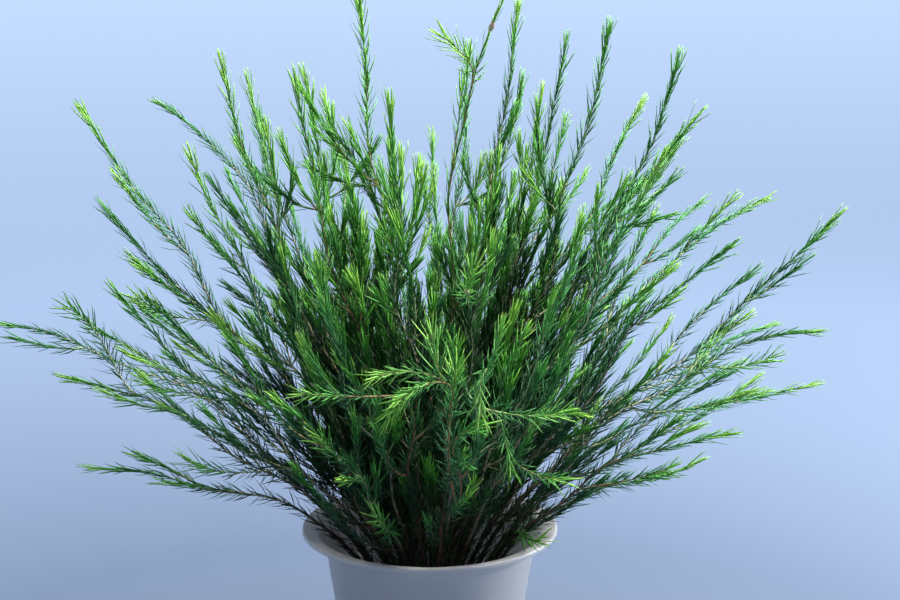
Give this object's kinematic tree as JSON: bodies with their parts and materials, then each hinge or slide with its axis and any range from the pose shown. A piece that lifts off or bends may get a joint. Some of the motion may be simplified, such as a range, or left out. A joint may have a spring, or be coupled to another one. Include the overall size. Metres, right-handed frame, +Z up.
{
  "type": "bunch of bottlebrush stems in a flower bucket",
  "caption": "Full bunch of cut evergreen stems with fine needle leaves, fanned out of a tapered white flower bucket with a flared lip.",
  "frame": {"origin": "centre of the bucket's flat underside", "axes": "+Z up, +X to the right of the bunch as it is seen from its front, -Y towards the viewer"},
  "size_m": [0.8832, 0.7132, 0.7919],
  "materials": {
    "bucket_plastic": "semi-gloss white moulded plastic",
    "leafy_stem": "satin green needles on woody twigs",
    "water": "clear still water"
  },
  "bodies": {
    "root": {"bucket": "bucket_plastic", "leafy_stem_01": "leafy_stem", "leafy_stem_02": "leafy_stem", "leafy_stem_03": "leafy_stem", "leafy_stem_04": "leafy_stem", "leafy_stem_05": "leafy_stem", "leafy_stem_06": "leafy_stem", "leafy_stem_07": "leafy_stem", "leafy_stem_08": "leafy_stem", "leafy_stem_09": "leafy_stem", "leafy_stem_10": "leafy_stem", "leafy_stem_11": "leafy_stem", "leafy_stem_12": "leafy_stem", "leafy_stem_13": "leafy_stem", "leafy_stem_14": "leafy_stem", "leafy_stem_15": "leafy_stem", "leafy_stem_16": "leafy_stem", "leafy_stem_17": "leafy_stem", "leafy_stem_18": "leafy_stem", "leafy_stem_19": "leafy_stem", "leafy_stem_20": "leafy_stem", "leafy_stem_21": "leafy_stem", "leafy_stem_22": "leafy_stem", "leafy_stem_23": "leafy_stem", "leafy_stem_24": "leafy_stem", "leafy_stem_25": "leafy_stem", "leafy_stem_26": "leafy_stem", "leafy_stem_27": "leafy_stem", "leafy_stem_28": "leafy_stem", "leafy_stem_29": "leafy_stem", "leafy_stem_30": "leafy_stem", "leafy_stem_31": "leafy_stem", "leafy_stem_32": "leafy_stem", "leafy_stem_33": "leafy_stem", "leafy_stem_34": "leafy_stem", "leafy_stem_35": "leafy_stem", "leafy_stem_36": "leafy_stem", "leafy_stem_37": "leafy_stem", "leafy_stem_38": "leafy_stem", "leafy_stem_39": "leafy_stem", "leafy_stem_40": "leafy_stem", "leafy_stem_41": "leafy_stem", "leafy_stem_42": "leafy_stem", "leafy_stem_43": "leafy_stem", "leafy_stem_44": "leafy_stem", "leafy_stem_45": "leafy_stem", "leafy_stem_46": "leafy_stem", "leafy_stem_47": "leafy_stem", "leafy_stem_48": "leafy_stem", "leafy_stem_49": "leafy_stem", "leafy_stem_50": "leafy_stem", "water": "water"}
  },
  "joints": []
}
